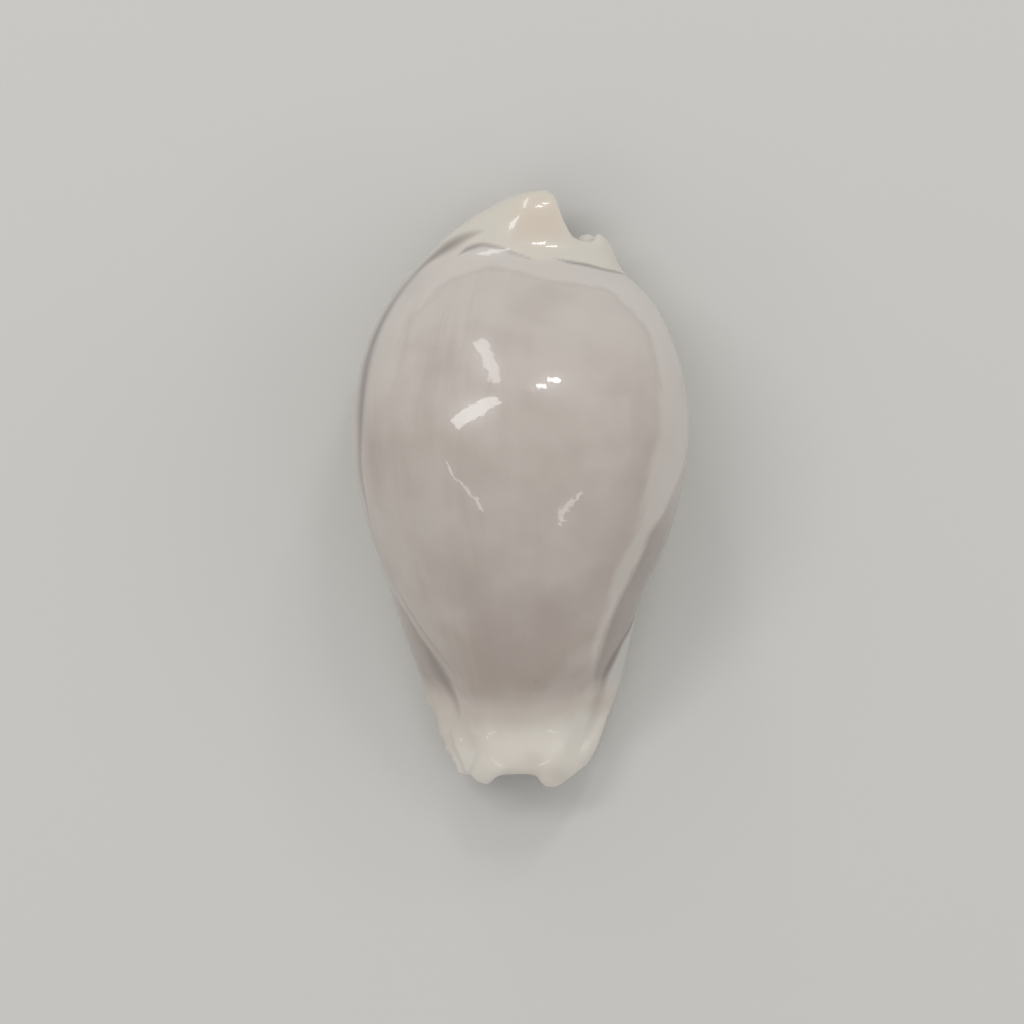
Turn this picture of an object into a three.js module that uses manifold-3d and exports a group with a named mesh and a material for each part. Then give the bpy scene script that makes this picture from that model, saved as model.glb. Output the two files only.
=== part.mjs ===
// An egg cowrie shell, lying on its underside as a finished shell rests on a table.
//
// The shell is one wall of lime, rolled up like a scroll around its long axis. The wall starts at the
// thick outer lip under the left side, runs over the back and down the right side, turns in at the slit
// as the smooth inner lip, and winds once more inside as the older whorl. Both ends of the slit are open
// canals. Coarse folds cross the outer lip, and a knob stands at the back end of the inner lip.
//
// Frame: +Y towards the back (spire) end, +Z up, -X the outer lip's side. The origin is on the surface
// that the shell rests on, under the middle of its box. Millimetres.
import * as THREE from "three";
import { mergeVertices } from "three/addons/utils/BufferGeometryUtils.js";
import Module from "manifold-3d";

// Driving dimensions
const LENGTH = 80;
const WIDTH = 45;
const HEIGHT = 36;

const WALL = 1.9; // over the back
const END_WALL = 3; // over both canals
const LIP_WALL = 3.4; // the outer lip
const LIP_END_WALL = 2.2;
const INNER_LIP_WALL = 2.8;
const INNER_LIP_END_WALL = 2;
const INNER_WALL = 1.5; // the older whorl inside

const HALF_LENGTH = LENGTH / 2;
const HALF_WIDTH = WIDTH / 2;

const { PI, sin, cos, abs, floor, min, max, exp } = Math;
const mix = (a, b, share) => a + (b - a) * share;
const clamp = (value, low, high) => min(max(value, low), high);
const ramp = (low, high, value) => {
  const share = clamp((value - low) / (high - low), 0, 1);
  return share * share * (3 - 2 * share);
};
const swelling = (value, centre, spread) => exp(-(((value - centre) / spread) ** 2));

// A smooth curve through pairs of a place and a value. Its slopes never overshoot the pairs, and a
// weighted mean of five places, `softening` apart, rounds its corners.
const MEAN = [[-2, 1], [-1, 4], [0, 6], [1, 4], [2, 1]]; // steps aside, weight
const WEIGHT_SUM = MEAN.reduce((sum, [, weight]) => sum + weight, 0);
function smoothCurve(pairs, softening) {
  const places = pairs.map(([place]) => place);
  const values = pairs.map(([, value]) => value);
  const rises = places.slice(1).map((place, i) => (values[i + 1] - values[i]) / (place - places[i]));
  const slopes = values.map((_, i) => {
    const before = rises[max(i - 1, 0)];
    const after = rises[min(i, rises.length - 1)];
    return before * after <= 0 ? 0 : (2 * before * after) / (before + after);
  });
  const through = (place) => {
    const at = clamp(place, places[0], places.at(-1));
    let i = 0;
    while (i < places.length - 2 && at > places[i + 1]) i += 1;
    const step = places[i + 1] - places[i];
    const t = (at - places[i]) / step;
    const rise = values[i + 1] - values[i];
    const start = slopes[i] * step;
    const finish = slopes[i + 1] * step;
    return values[i] + t * (start + t * (3 * rise - 2 * start - finish + t * (start + finish - 2 * rise)));
  };
  return (place) =>
    MEAN.reduce((sum, [steps, weight]) => sum + weight * through(place + steps * softening), 0)
    / WEIGHT_SUM;
}

// A profile along the shell: places in percent of the half length, values in percent of `size`.
const SOFTENING_ALONG = 1.5;
function profile(size, pairs) {
  const curve = smoothCurve(pairs, SOFTENING_ALONG);
  return (y) => (curve((100 * y) / HALF_LENGTH) * size) / 100;
}

// The outline seen from above, and the heights seen from the side
const leftSide = profile(-HALF_WIDTH, [
  [-100, 30.5], [-94, 37], [-82, 47], [-71, 54.3], [-51, 68], [-31, 79.5], [-10, 92], [5, 98], [20, 100],
  [36, 97], [50, 90], [63, 79], [74, 62.5], [84, 45], [92, 26], [98, 8], [101, -2],
]);
const rightSide = profile(HALF_WIDTH, [
  [-100, 30], [-94, 38], [-87, 45.5], [-77, 51.5], [-64, 60], [-51, 65.5], [-37, 72], [-24, 82.5],
  [-10, 91.5], [5, 97.5], [20, 100], [36, 97], [50, 90], [63, 78.5], [69, 68.5], [74, 59], [80, 55], [84, 52],
  [90, 46], [95, 41], [101, 34],
]);
const topHeight = profile(HEIGHT, [
  [-101, 26], [-97, 31.5], [-91, 34.5], [-82, 34], [-75, 39], [-70, 45], [-60, 56.5], [-45, 71.5],
  [-30, 83.5], [-12, 93.5], [5, 99], [17, 100], [30, 98], [43, 91], [55, 79], [65, 63.5], [71, 51.5],
  [75.5, 42], [80, 37.5], [86, 35.5], [93, 34.5], [98, 32], [102, 27],
]);
const topPlace = profile(HALF_WIDTH, [[-100, -3], [-80, 0], [80, 0], [92, 5], [101, 12]]);
const beltHeight = profile(HEIGHT, [
  [-100, 12], [-82, 14], [-62, 18], [-38, 28], [-12, 37.5], [12, 43], [30, 43], [50, 36], [65, 28],
  [75, 22], [86, 19], [101, 17],
]);
const baseHeight = profile(HEIGHT, [
  [-100, 5.5], [-90, 3.3], [-75, 1], [-60, 0], [-50, -0.8], [38, -0.8], [50, 0], [65, 1.1], [75, 2.5],
  [85, 4.5], [95, 7], [101, 9],
]);

// The slit on the underside: the middle of its course, its width, and how softly the inner lip rolls in
const slitPlace = profile(HALF_WIDTH, [
  [-100, -2], [-75, -4.5], [-50, -11], [-25, -19], [0, -23], [25, -22], [45, -16], [60, -6], [70, 4.5],
  [78, 14], [86, 22], [95, 27], [101, 28],
]);
const slitWidth = profile(HALF_WIDTH, [
  [-100, 28], [-90, 34], [-75, 40], [-50, 42], [-25, 39], [0, 37], [25, 35], [50, 32], [70, 27], [101, 22],
]);
const rollWidth = profile(HALF_WIDTH, [
  [-100, 12], [-75, 20], [-50, 31], [-20, 42], [20, 45], [45, 40], [60, 33], [72, 27], [85, 20], [101, 16],
]);

// Shares that place the lips and the older whorl between the profiles
const LIP_FOOT = 0.58; // the outer lip's lowest point, of the way from the side to the slit
const LIP_FOOT_AT_FRONT = 0.68;
const FOOT_SHIFTS = [0, 0.55]; // between these shares of the half length, towards the front
const LIP_CURL = 1.4; // how far the lip's curve would run on, of the way from its foot to its edge
const LIP_RISE = 0.35; // how high it would end, of the way from the base to the belt
const ROLL_OVER_SLIT = 0.25; // of the inner lip's roll, the part that stands over the slit
const ROLL_FOOT = 0.6; // of the roll, from the slit to the inner lip's lowest point
const WHORL_REACH = 0.42; // the older whorl's right side, of the way from that point to the shell's side
const WHORL_TOP = 0.48; // its top, of the way from the belt to the shell's top
const WHORL_FLOOR = 0.42; // where it closes again, of the way from the base to the belt

// The wall's outer face goes from turning point to turning point, a quarter turn apart: number 0 is the
// outer lip's lowest point, 1 the left side, 2 the top, 3 the right side, 4 the inner lip's lowest point,
// and 5 to 8 the same round the older whorl inside. Number -1 is where the outer lip's face would stand
// upright in the slit.
const FIRST_POINT = -1;
function turningPoints(y) {
  const left = leftSide(y);
  const right = rightSide(y);
  const top = topHeight(y);
  const belt = beltHeight(y);
  const base = baseHeight(y);
  const roll = rollWidth(y);
  const lipEdge = slitPlace(y) - slitWidth(y) / 2;
  const innerEdge = slitPlace(y) + slitWidth(y) / 2;
  const frontwards = ramp(...FOOT_SHIFTS, -y / HALF_LENGTH);
  const lipFoot = mix(left, lipEdge, mix(LIP_FOOT, LIP_FOOT_AT_FRONT, frontwards));
  const innerLeft = innerEdge - ROLL_OVER_SLIT * roll;
  const innerFoot = innerEdge + ROLL_FOOT * roll;
  const innerRight = mix(innerFoot, right, WHORL_REACH);
  return [
    [mix(lipFoot, lipEdge, LIP_CURL), mix(base, belt, LIP_RISE)],
    [lipFoot, base],
    [left, belt],
    [topPlace(y), top],
    [right, belt],
    [innerFoot, base],
    [innerLeft, belt],
    [(innerLeft + innerRight) / 2, mix(belt, top, WHORL_TOP)],
    [innerRight, belt],
    [innerFoot, mix(base, belt, WHORL_FLOOR)],
  ];
}

// A point of the plain outer face, `turn` quarter turns round from the outer lip's lowest point.
function plainFace(turn, y) {
  const points = turningPoints(y);
  const leg = clamp(floor(turn), FIRST_POINT, FIRST_POINT + points.length - 2);
  const angle = ((turn - leg) * PI) / 2;
  const [x0, z0] = points[leg - FIRST_POINT];
  const [x1, z1] = points[leg - FIRST_POINT + 1];
  return leg % 2 === 0
    ? new THREE.Vector3(mix(x0, x1, sin(angle)), y, mix(z1, z0, cos(angle)))
    : new THREE.Vector3(mix(x1, x0, cos(angle)), y, mix(z0, z1, sin(angle)));
}

// The direction round the wall and the direction out of it, from two short steps on the plain face.
const PROBE_TURN = 0.02;
const PROBE_Y = 0.2;
const roundAt = (turn, y) => plainFace(turn + PROBE_TURN, y).sub(plainFace(turn - PROBE_TURN, y));
function outward(turn, y) {
  const along = plainFace(turn, y + PROBE_Y).sub(plainFace(turn, y - PROBE_Y));
  return roundAt(turn, y).cross(along).normalize();
}

// A hollow runs down each side of the back to the front canal, and parts the back from the thick margin.
const LEFT_HOLLOW = { depth: 1.7, starts: [0.25, 0.7], places: [1.2, 1.5], drift: [0.2, 0.75] };
const RIGHT_HOLLOW = { depth: 1.5, starts: [0.35, 0.72], places: [2.85, 2.6], drift: [0.35, 0.75] };
const HOLLOWS_END = [0.84, 0.96];
const HOLLOW_SPREAD = 0.17; // quarter turns
function hollow({ depth, starts, places, drift }, turn, y) {
  const frontwards = -y / HALF_LENGTH;
  const strength = ramp(...starts, frontwards) * (1 - ramp(...HOLLOWS_END, frontwards));
  return depth * strength * swelling(turn, mix(...places, ramp(...drift, frontwards)), HOLLOW_SPREAD);
}

// Where the thickness passes from one part of the wall to the next, in quarter turns
const OFF_OUTER_LIP = [0.2, 1.3];
const ONTO_INNER_LIP = [3, 3.8];
const ONTO_WHORL = [4.4, 5.2];
const TO_AN_END = [0.6, 0.88]; // and towards both ends, in shares of the half length
function wallThickness(turn, y) {
  const offLip = ramp(...OFF_OUTER_LIP, turn);
  const toInnerLip = ramp(...ONTO_INNER_LIP, turn);
  const middle = mix(mix(LIP_WALL, WALL, offLip), INNER_LIP_WALL, toInnerLip);
  const end = mix(mix(LIP_END_WALL, END_WALL, offLip), INNER_LIP_END_WALL, toInnerLip);
  const outer = mix(middle, end, ramp(...TO_AN_END, abs(y) / HALF_LENGTH));
  return mix(outer, INNER_WALL, ramp(...ONTO_WHORL, turn));
}

// Where the wall ends towards the front and the back, in percent of the half length, for each turn
const SOFTENING_ROUND = 0.015;
const frontEnd = smoothCurve([
  [-1, -95], [0, -97], [0.8, -97.2], [1.3, -99.9], [1.52, -100.4], [1.7, -98.4], [1.85, -97.6], [2.15, -97.6],
  [2.28, -98.5], [2.46, -101.5], [2.75, -100], [3.1, -97.2], [4, -95], [5, -85], [6, -70], [8, -55],
], SOFTENING_ROUND);
const backEnd = smoothCurve([
  [-1, 95], [0, 97.5], [0.8, 99.9], [1.6, 101.5], [2.1, 101.8], [2.28, 99.8], [2.38, 92], [2.48, 85],
  [2.57, 83.5], [2.66, 83.8], [2.8, 87], [2.95, 85.7], [3.2, 80], [3.7, 77.5], [4.4, 77.5], [5, 72],
  [6, 60], [8, 50],
], SOFTENING_ROUND);

// A list from 0 to 1 that starts and ends close-set, with the share of the wall's thickness at each
// place. The wall's two faces part from one edge in a quarter circle, so every edge of it is round.
const EDGE_ANGLES = [0, PI / 6, PI / 3];
function roundEnded(edgeShare, inner) {
  const start = EDGE_ANGLES.map((a) => ({ at: edgeShare * (1 - cos(a)), swell: sin(a) }));
  const finish = start.map(({ at, swell }) => ({ at: 1 - at, swell })).reverse();
  const middle = inner.map((t) => ({ at: mix(edgeShare, 1 - edgeShare, t), swell: 1 }));
  return [...start, ...middle, ...finish];
}

// How finely the wall is cut. Rows run round it and stand closer towards both ends of the shell.
const LENGTH_STEPS = 29;
const END_CROWDING = 0.55;
const RIM_SHARE = 1.5 / LENGTH;
function rows() {
  const even = Array.from({ length: LENGTH_STEPS + 1 }, (_, i) => i / LENGTH_STEPS);
  return roundEnded(RIM_SHARE, even.map((t) => mix(t, (1 - cos(PI * t)) / 2, END_CROWDING)));
}

// Columns run along the shell: [from, to, steps] of each stretch, in quarter turns
const STRETCHES = [
  [-0.35, 0, 2], [0, 1, 5], [1, 2, 7], [2, 2.2, 1], [2.2, 2.8, 7], [2.8, 3, 1], [3, 3.9, 4], [3.9, 4.1, 2],
  [4.1, 5, 5], [5, 7.4, 6],
];
const START_TURN = -0.5;
const LIP_EDGE_TURNS = 0.15;
const INNER_EDGE_TURNS = 0.1;
const WHORL_START = 4;
const WHORL_END = STRETCHES.at(-1)[1];

// The inner end of the roll winds less far in towards both ends of the shell.
const TURNS_AT_FRONT = 4.35;
const TURNS_AT_BACK = 4.5;
const WINDS_IN = [0.02, 0.38]; // shares of the length, from the front
const WINDS_OUT = [0.68, 0.95];
function lastTurn(share) {
  const fromFront = mix(TURNS_AT_FRONT, WHORL_END, ramp(...WINDS_IN, share));
  return mix(fromFront, TURNS_AT_BACK, ramp(...WINDS_OUT, share));
}

function columns(share) {
  const last = lastTurn(share);
  const turns = STRETCHES.flatMap(([from, to, steps]) =>
    Array.from({ length: steps }, (_, i) => mix(from, to, i / steps)));
  const wound = [...turns, WHORL_END].map((turn) =>
    (turn < WHORL_START ? turn : mix(WHORL_START, last, (turn - WHORL_START) / (WHORL_END - WHORL_START))));
  const lipEdge = EDGE_ANGLES.map((a) => ({ turn: START_TURN + LIP_EDGE_TURNS * (1 - cos(a)), swell: sin(a) }));
  const innerEdge = EDGE_ANGLES.map((a) => ({ turn: last + INNER_EDGE_TURNS * cos(a), swell: sin(a) }));
  return [...lipEdge, ...wound.map((turn) => ({ turn, swell: 1 })), ...innerEdge.reverse()];
}

// The outer and inner point of the wall at one place. What would reach below the table is flat on it.
function wallAt(turn, share, swell) {
  const y = (mix(frontEnd(turn), backEnd(turn), share) * HALF_LENGTH) / 100;
  const out = outward(turn, y);
  const dip = hollow(LEFT_HOLLOW, turn, y) + hollow(RIGHT_HOLLOW, turn, y);
  const half = wallThickness(turn, y) / 2;
  return [1 - swell, 1 + swell].map((depth) => {
    const point = plainFace(turn, y).addScaledVector(out, -dip - half * depth);
    point.z = max(point.z, 0);
    return point;
  });
}

// The closed mesh of the wall: its outer face, its inner face, and the edges where the two meet.
function wallGeometry() {
  const grid = rows().map(({ at, swell: rimSwell }) =>
    columns(at).map(({ turn, swell }) => wallAt(turn, at, swell * rimSwell)));
  const positions = [];
  const face = (a, b, c) => positions.push(...a.toArray(), ...b.toArray(), ...c.toArray());
  for (let j = 0; j + 1 < grid.length; j += 1) {
    for (let i = 0; i + 1 < grid[j].length; i += 1) {
      const [a, b, c, d] = [grid[j][i], grid[j][i + 1], grid[j + 1][i + 1], grid[j + 1][i]];
      face(a[0], b[0], c[0]);
      face(a[0], c[0], d[0]);
      face(a[1], c[1], b[1]);
      face(a[1], d[1], c[1]);
    }
  }
  const geometry = new THREE.BufferGeometry();
  geometry.setAttribute("position", new THREE.Float32BufferAttribute(positions, 3));
  return geometry;
}

// Coarse folds cross the outer lip's edge. Each is an egg-shaped swelling sunk in the lip.
const FOLD_FIRST = -34;
const FOLD_LAST = 27;
const FOLD_COUNT = 23;
const FOLD_TURN = -0.3;
const FOLD_RADII = [2.3, 0.95, 0.8]; // across the lip, along the shell, out of the lip
const FOLD_SUNK = 0.55;

// The front folds run on over the whole lip and end as small teeth on its outer margin: how far along
// the shell, and how far round
const MARGIN_TEETH = [[-28.8, 0.93], [-33, 0.95], [-34.7, 0.97], [-36.2, 1], [-38, 1.02]];
const MARGIN_TOOTH_RADII = [1.5, 0.55, 0.7];
const MARGIN_TOOTH_SUNK = 0.35;

// The knob at the back end of the inner lip
const KNOB_CENTRE = new THREE.Vector3(9.1, 32.4, 5.4);
const KNOB_RADII = [1.7, 2.1, 3];

const EGG_SIDES = 7;
const EGG_RINGS = 5;
function egg([across, along, out], place, sunk = 0) {
  const ball = new THREE.SphereGeometry(1, EGG_SIDES, EGG_RINGS);
  ball.rotateZ(PI / 2); // its poles lie across the lip
  ball.scale(across, along, out);
  ball.translate(0, 0, -sunk);
  ball.applyMatrix4(place);
  const { position } = ball.attributes;
  for (let i = 0; i < position.count; i += 1) position.setZ(i, max(position.getZ(i), 0));
  return ball;
}

function onWall(turn, y) {
  const out = outward(turn, y);
  const across = roundAt(turn, y).normalize();
  const along = out.clone().cross(across);
  return new THREE.Matrix4().makeBasis(across, along, out).setPosition(plainFace(turn, y));
}

function swellings() {
  const folds = Array.from({ length: FOLD_COUNT }, (_, i) => {
    const y = mix(FOLD_FIRST, FOLD_LAST, i / (FOLD_COUNT - 1));
    return egg(FOLD_RADII, onWall(FOLD_TURN, y), FOLD_SUNK);
  });
  const teeth = MARGIN_TEETH.map(([y, turn]) =>
    egg(MARGIN_TOOTH_RADII, onWall(turn, y), MARGIN_TOOTH_SUNK));
  const knob = egg(KNOB_RADII, new THREE.Matrix4().setPosition(KNOB_CENTRE));
  return [...folds, ...teeth, knob];
}

const wasm = await Module();
wasm.setup();

const MERGE_WITHIN = 1e-4;
function solid(geometry) {
  const plain = geometry.index ? geometry.toNonIndexed() : geometry.clone();
  plain.deleteAttribute("normal");
  plain.deleteAttribute("uv");
  const merged = mergeVertices(plain, MERGE_WITHIN);
  return new wasm.Manifold(new wasm.Mesh({
    numProp: 3,
    vertProperties: merged.attributes.position.array,
    triVerts: new Uint32Array(merged.index.array),
  }));
}

function geometryOf(manifold) {
  const mesh = manifold.getMesh();
  const geometry = new THREE.BufferGeometry();
  geometry.setAttribute("position", new THREE.BufferAttribute(mesh.vertProperties, 3));
  geometry.setIndex(new THREE.BufferAttribute(mesh.triVerts, 1));
  return geometry;
}

const wholeShell = swellings().reduce((joined, piece) => joined.add(solid(piece)), solid(wallGeometry()));

const porcelain = new THREE.MeshStandardMaterial({ color: 0xd9d3cc, roughness: 0.12, metalness: 0 });
const shell = new THREE.Mesh(geometryOf(wholeShell), porcelain);
shell.name = "shell";

const cowrie = new THREE.Group();
cowrie.add(shell);

export default cowrie;
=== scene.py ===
# %% [markdown]
# # An egg cowrie shell
#
# A cowrie's shell is one wall of lime that rolls up like a scroll around the long axis. In a grown egg
# cowrie the last turn hides all the others: it starts at the thick, folded outer lip, runs over the
# back, and turns in again at the slit as the smooth inner lip. The animal's mantle then glazes the
# whole outside, so the surface is as glossy as porcelain.
#
# This lesson rolls up such a wall from one flat grid, models the folds, grooves and steps of the glaze
# on it, and gives it a porcelain finish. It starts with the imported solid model, which fixes the shell's
# size and place. The frame: metres, +Y towards the back (spire) end, +Z up, -X the outer lip's side.

from math import pi

import bmesh
import bpy
import numpy as np
from mathutils import Matrix, Vector


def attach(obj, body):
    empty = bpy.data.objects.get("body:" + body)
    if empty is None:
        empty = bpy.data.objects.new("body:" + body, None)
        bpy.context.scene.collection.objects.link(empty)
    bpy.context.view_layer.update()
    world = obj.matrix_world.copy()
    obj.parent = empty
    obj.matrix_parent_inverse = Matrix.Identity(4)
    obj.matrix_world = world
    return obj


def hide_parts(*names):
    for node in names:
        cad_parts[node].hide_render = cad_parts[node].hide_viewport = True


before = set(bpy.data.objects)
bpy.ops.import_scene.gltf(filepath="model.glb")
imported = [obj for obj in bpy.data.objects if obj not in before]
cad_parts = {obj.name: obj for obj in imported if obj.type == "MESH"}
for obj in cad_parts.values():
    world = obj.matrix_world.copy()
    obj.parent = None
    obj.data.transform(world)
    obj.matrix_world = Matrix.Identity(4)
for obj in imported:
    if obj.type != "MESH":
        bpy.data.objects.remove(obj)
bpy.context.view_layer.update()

MM = 0.001  # the shell's sizes below are in millimetres

# %% [markdown]
# ## Curves to measure the shell with
#
# A shell has no straight line, so every size of it is a curve: how wide, how high and how thick it is
# at each place along its length. A list of measured pairs is easy to read and to change. The curve
# through them must not swing past them, or the shell would get dents that nobody measured, so its slope
# at each pair is the harmonic mean of the slopes on both sides. A weighted mean then rounds corners.


# %% Smooth curves
def mix(a, b, share):
    return a + (b - a) * share


def ramp(low, high, value):
    share = np.clip((value - low) / (high - low), 0, 1)  # `low` may be the larger one
    return share * share * (3 - 2 * share)


def swelling(value, centre, spread):
    return np.exp(-(((value - centre) / spread) ** 2))


MEAN = [(-2, 1), (-1, 4), (0, 6), (1, 4), (2, 1)]  # steps aside, weight


def smooth_curve(pairs, softening):
    places, values = np.array(pairs, float).T
    steps = np.diff(places)
    rises = np.diff(values) / steps
    before, after = np.append(rises[0], rises), np.append(rises, rises[-1])
    agree = before * after > 0
    slopes = np.where(agree, 2 * before * after / np.where(agree, before + after, 1), 0)

    def through(place):
        at = np.clip(place, places[0], places[-1])
        i = np.clip(np.searchsorted(places, at) - 1, 0, len(steps) - 1)
        t, rise = (at - places[i]) / steps[i], values[i + 1] - values[i]
        start, finish = slopes[i] * steps[i], slopes[i + 1] * steps[i]
        return values[i] + t * (start + t * (3 * rise - 2 * start - finish + t * (start + finish - 2 * rise)))

    total = sum(weight for _, weight in MEAN)
    return lambda place: sum(w * through(place + k * softening) for k, w in MEAN) / total


print("a ramp from 0 to 10 has risen to", round(float(ramp(0, 10, 2.5)), 2), "at 2.5")

# %% [markdown]
# ## The shell's profiles
#
# These are the same profiles as the solid model's: the outline seen from above, the heights seen from
# the side, and the course of the slit on the underside. Places are percent of half the length, from
# the front (-100) to the back (100), and values are percent of the size named first.

# %% Profiles
LENGTH, WIDTH, HEIGHT = 80, 45, 36
HALF_LENGTH, HALF_WIDTH = LENGTH / 2, WIDTH / 2
SOFTENING_ALONG = 1.5  # percent of half the length
TABLE = np.linspace(-106, 106, 4241)  # the same, a little beyond both ends


def profile(size, pairs):
    values = smooth_curve(pairs, SOFTENING_ALONG)(TABLE) * size / 100
    return lambda y: np.interp(100 * y / HALF_LENGTH, TABLE, values)


left_side = profile(-HALF_WIDTH, [
    (-100, 30.5), (-94, 37), (-82, 47), (-71, 54.3), (-51, 68), (-31, 79.5), (-10, 92), (5, 98), (20, 100),
    (36, 97), (50, 90), (63, 79), (74, 62.5), (84, 45), (92, 26), (98, 8), (101, -2)])
right_side = profile(HALF_WIDTH, [
    (-100, 30), (-94, 38), (-87, 45.5), (-77, 51.5), (-64, 60), (-51, 65.5), (-37, 72), (-24, 82.5),
    (-10, 91.5), (5, 97.5), (20, 100), (36, 97), (50, 90), (63, 78.5), (69, 68.5), (74, 59), (80, 55),
    (84, 52), (90, 46), (95, 41), (101, 34)])
top_height = profile(HEIGHT, [
    (-101, 26), (-97, 31.5), (-91, 34.5), (-82, 34), (-75, 39), (-70, 45), (-60, 56.5), (-45, 71.5),
    (-30, 83.5), (-12, 93.5), (5, 99), (17, 100), (30, 98), (43, 91), (55, 79), (65, 63.5), (71, 51.5),
    (75.5, 42), (80, 37.5), (86, 35.5), (93, 34.5), (98, 32), (102, 27)])
top_place = profile(HALF_WIDTH, [(-100, -3), (-80, 0), (80, 0), (92, 5), (101, 12)])
belt_height = profile(HEIGHT, [
    (-100, 12), (-82, 14), (-62, 18), (-38, 28), (-12, 37.5), (12, 43), (30, 43), (50, 36), (65, 28),
    (75, 22), (86, 19), (101, 17)])
base_height = profile(HEIGHT, [
    (-100, 5.5), (-90, 3.3), (-75, 1), (-60, 0), (-50, -0.8), (38, -0.8), (50, 0), (65, 1.1), (75, 2.5),
    (85, 4.5), (95, 7), (101, 9)])
slit_place = profile(HALF_WIDTH, [
    (-100, -2), (-75, -4.5), (-50, -11), (-25, -19), (0, -23), (25, -22), (45, -16), (60, -6), (70, 4.5),
    (78, 14), (86, 22), (95, 27), (101, 28)])
slit_width = profile(HALF_WIDTH, [
    (-100, 28), (-90, 34), (-75, 40), (-50, 42), (-25, 39), (0, 37), (25, 35), (50, 32), (70, 27), (101, 22)])
roll_width = profile(HALF_WIDTH, [
    (-100, 12), (-75, 20), (-50, 31), (-20, 42), (20, 45), (45, 40), (60, 33), (72, 27), (85, 20), (101, 16)])
WIDEST, HIGHEST = 8, 6.8  # the places in mm
print("widest:", round(float(right_side(WIDEST) - left_side(WIDEST)), 2), "mm")
print("highest:", round(float(top_height(HIGHEST)), 2), "mm")

# %% [markdown]
# ## The roll
#
# Cut across, the wall runs from turning point to turning point, a quarter turn apart: 0 is the outer
# lip's lowest point, 1 the left side, 2 the top, 3 the right side, 4 the inner lip's lowest point, and
# 5 to 8 the same round the older whorl inside. A quarter of an ellipse joins each point to the next,
# so the direction never breaks. Every place on the wall has two numbers: its turn, and its place along
# the shell. With them a whole shell is only a rule for moving the points of a flat sheet.

# %% A point on the plain outer face
LIP_FOOT, LIP_FOOT_AT_FRONT, FOOT_SHIFTS = 0.58, 0.68, (0, 0.55)  # its lowest point, from side to slit
LIP_CURL, LIP_RISE = 1.4, 0.35  # how far its edge turns in and up from there
ROLL_OVER_SLIT, ROLL_FOOT = 0.25, 0.6  # of the inner lip's width: over the slit, and to its lowest point
WHORL_REACH, WHORL_TOP, WHORL_FLOOR = 0.42, 0.48, 0.42  # the older whorl, of the room inside
FIRST_POINT = -1  # the lip's edge comes one turning point before its lowest one


def turning_points(y):
    left, right, top, belt, base = left_side(y), right_side(y), top_height(y), belt_height(y), base_height(y)
    lip_edge, inner_edge = slit_place(y) - slit_width(y) / 2, slit_place(y) + slit_width(y) / 2
    foot = mix(LIP_FOOT, LIP_FOOT_AT_FRONT, ramp(*FOOT_SHIFTS, -y / HALF_LENGTH))
    lip_foot = mix(left, lip_edge, foot)
    inner_left = inner_edge - ROLL_OVER_SLIT * roll_width(y)
    inner_foot = inner_edge + ROLL_FOOT * roll_width(y)
    inner_right = mix(inner_foot, right, WHORL_REACH)
    across = [mix(lip_foot, lip_edge, LIP_CURL), lip_foot, left, top_place(y), right, inner_foot,
              inner_left, (inner_left + inner_right) / 2, inner_right, inner_foot]
    up = [mix(base, belt, LIP_RISE), base, belt, top, belt, base,
          belt, mix(belt, top, WHORL_TOP), belt, mix(base, belt, WHORL_FLOOR)]
    return np.array(across), np.array(up)


def plain_face(turn, y):
    across, up = turning_points(y)
    leg = np.clip(np.floor(turn), FIRST_POINT, FIRST_POINT + len(across) - 2).astype(int)
    angle, i, each = (turn - leg) * pi / 2, leg - FIRST_POINT, np.arange(len(turn))
    x0, x1, z0, z1 = across[i, each], across[i + 1, each], up[i, each], up[i + 1, each]
    even = leg % 2 == 0
    x = np.where(even, mix(x0, x1, np.sin(angle)), mix(x1, x0, np.cos(angle)))
    z = np.where(even, mix(z1, z0, np.cos(angle)), mix(z0, z1, np.sin(angle)))
    return np.stack([x, y, z], axis=1)


print("turning points of the middle section, across and up in mm:")
for turn_point, (across, up) in enumerate(np.transpose(turning_points(0.0)), FIRST_POINT):
    print(" ", turn_point, round(float(across), 1), round(float(up), 1))

# %% The direction out of the face
PROBE_TURN, PROBE_Y = 0.02, 0.2  # two short steps on the face give the direction out of it


def outward(turn, y):
    round_it = plain_face(turn + PROBE_TURN, y) - plain_face(turn - PROBE_TURN, y)
    along_it = plain_face(turn, y + PROBE_Y) - plain_face(turn, y - PROBE_Y)
    out = np.cross(round_it, along_it)
    return out / np.linalg.norm(out, axis=1, keepdims=True)


print("out of the top:", outward(np.array([2.0]), np.array([0.0])).round(2))

# %% [markdown]
# ## How thick the wall is, and where it ends
#
# The lip is the thickest part, the back is thin, and the whorl inside is thinner still. Seen from
# above, the wall doesn't end in a straight line: at the back it draws out into a beak on the left, with
# a notch beside it, and at the front two lobes stand on either side of the canal.

# %% Thickness
WALL, END_WALL = 1.9, 3  # over the back, over both canals
LIP_WALL, LIP_END_WALL = 3.4, 2.2  # the outer lip
INNER_LIP_WALL, INNER_LIP_END_WALL = 2.8, 2
INNER_WALL = 1.5  # the older whorl
FLANGE_WALL = 1.1  # beside the back notch, thin enough to let the knob show
ONTO_FLANGE, OFF_FLANGE, BY_THE_NOTCH = (2.3, 2.5), (3.1, 3.4), (0.72, 0.8)
OFF_OUTER_LIP, ONTO_INNER_LIP, ONTO_WHORL = (0.2, 1.3), (3, 3.8), (4.4, 5.2)
TO_AN_END = (0.6, 0.88)


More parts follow.
